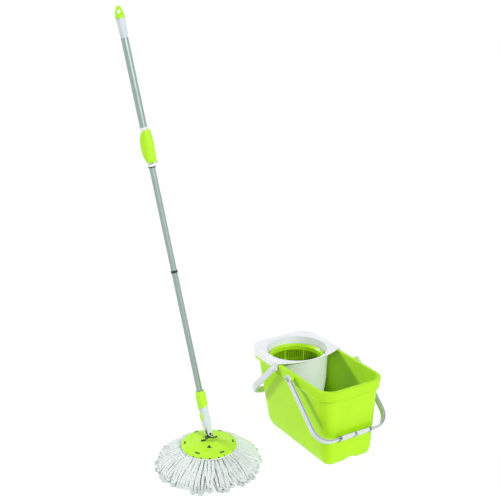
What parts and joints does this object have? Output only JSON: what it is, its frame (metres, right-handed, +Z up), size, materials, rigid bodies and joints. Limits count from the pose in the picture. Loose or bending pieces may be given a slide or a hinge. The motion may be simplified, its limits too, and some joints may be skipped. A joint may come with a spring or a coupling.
{
  "type": "spin mop",
  "caption": "Spin mop with round yarn head, leaning telescopic steel pole and lock lever, beside a tall oblong bucket with lift-out spinning basket and swinging carrying handles.",
  "frame": {"origin": "middle of the bucket's flat underside, on the floor", "axes": "+Z up; the bucket's long side lies along Y, its open end towards -Y and its basket towards +Y; the mop stands at -X with its pole leaning to +Y and -X"},
  "size_m": [0.6936, 0.5108, 1.3617],
  "materials": {
    "lime_bucket": "moulded lime plastic, semi-gloss",
    "mop_lime": "moulded bright lime plastic, semi-gloss",
    "white_plastic": "moulded off-white plastic, satin",
    "steel_tube": "satin stainless tube",
    "bright_steel": "bright plated steel",
    "dark_rubber": "dark grey rubber",
    "dark_plastic": "dark grey moulded plastic",
    "dark_steel": "blackened steel",
    "yarn": "off-white looped microfibre yarn"
  },
  "bodies": {
    "bucket": {"tub": "lime_bucket", "bail_pin_left": "bright_steel", "bail_pin_right": "bright_steel"},
    "front_bail": {"front_bail": "white_plastic", "grip_ring_left": "dark_rubber", "grip_sleeve_left": "white_plastic", "grip_ring_middle": "dark_rubber", "grip_sleeve_right": "white_plastic", "grip_ring_right": "dark_rubber"},
    "insert": {"insert": "white_plastic", "handle_pin_left": "white_plastic", "handle_pin_right": "white_plastic", "spindle": "bright_steel", "spindle_ring": "steel_tube"},
    "rear_handle": {"rear_handle": "white_plastic"},
    "basket": {"basket": "lime_bucket", "basket_bearing": "steel_tube", "basket_hub_cap": "white_plastic"},
    "refill": {"yarn": "yarn", "refill_ring": "white_plastic"},
    "mop_head": {"mop_disc": "mop_lime", "swivel_bracket": "bright_steel", "bracket_screw_left": "dark_steel", "bracket_screw_right": "dark_steel", "tilt_pin": "bright_steel"},
    "yoke": {"yoke": "dark_plastic"},
    "lower_pole": {"fork_sleeve": "white_plastic", "fork_pin": "bright_steel", "clip_sleeve": "mop_lime", "lower_tube": "steel_tube", "joint_ring": "dark_plastic", "joint_plug": "dark_plastic", "middle_tube": "steel_tube"},
    "release_button": {"release_button": "mop_lime"},
    "snap_button": {"snap_button": "steel_tube"},
    "drive_nut": {"drive_nut": "dark_plastic"},
    "upper_pole": {"wiper_ring": "dark_rubber", "lock_body": "white_plastic", "upper_tube": "steel_tube", "twisted_bar": "bright_steel", "end_sleeve": "white_plastic", "hanger_cap": "mop_lime"},
    "lock_lever": {"lock_lever": "mop_lime", "lever_pin": "bright_steel"}
  },
  "joints": [
    {"name": "bail_swing", "type": "hinge", "parent": "bucket", "child": "front_bail", "pos_m": [0, -0.045, 0.248], "axis": [-1, 0, 0], "range_deg": [0, 131.5]},
    {"name": "insert_lift", "type": "slide", "parent": "bucket", "child": "insert", "axis": [0, 0, 1], "range_m": [0, 0.075]},
    {"name": "handle_swing", "type": "hinge", "parent": "insert", "child": "rear_handle", "pos_m": [0, 0.047, 0.2465], "axis": [1, 0, 0], "range_deg": [0, 134.7]},
    {"name": "basket_spin", "type": "hinge", "parent": "insert", "child": "basket", "pos_m": [0, 0.105, 0.13], "axis": [0, 0, 1], "continuous": true},
    {"name": "mop_lift", "type": "slide", "parent": "bucket", "child": "refill", "axis": [0, 0, 1], "range_m": [0, 0.3]},
    {"name": "refill_release", "type": "slide", "parent": "refill", "child": "mop_head", "axis": [0, 0, 1], "range_m": [0, 0.04]},
    {"name": "head_tilt", "type": "hinge", "parent": "mop_head", "child": "yoke", "pos_m": [-0.387, 0.008, 0.098], "axis": [0.9986, -0.0523, 0], "range_deg": [-45.3, 68.7]},
    {"name": "fork_tilt", "type": "hinge", "parent": "yoke", "child": "lower_pole", "pos_m": [-0.38689, 0.01002, 0.10779], "axis": [0.0512, 0.9779, -0.2028], "range_deg": [-38.9, 51.1]},
    {"name": "button_press", "type": "slide", "parent": "lower_pole", "child": "release_button", "axis": [0.9735, 0.2236, 0.048], "range_m": [0, 0.0025], "stiffness_N_per_m": 500, "springref_m": -0.002},
    {"name": "snap_press", "type": "slide", "parent": "lower_pole", "child": "snap_button", "axis": [0.9735, 0.2236, 0.048], "range_m": [0, 0.0018], "stiffness_N_per_m": 700, "springref_m": -0.0015},
    {"name": "nut_spin", "type": "hinge", "parent": "lower_pole", "child": "drive_nut", "pos_m": [-0.47816, 0.20764, 1.03765], "axis": [-0.0956, 0.2069, 0.9737], "range_deg": [0, 775]},
    {"name": "pump", "type": "slide", "parent": "lower_pole", "child": "upper_pole", "axis": [-0.0956, 0.2069, 0.9737], "range_m": [-0.215, 0]},
    {"name": "lever_swing", "type": "hinge", "parent": "upper_pole", "child": "lock_lever", "pos_m": [-0.46109, 0.17359, 0.92743], "axis": [0.8616, 0.507, -0.0232], "range_deg": [0, 70]}
  ],
  "couplings": [
    {"joint": "nut_spin", "follows": "pump", "rad_per_m": -62.832}
  ]
}
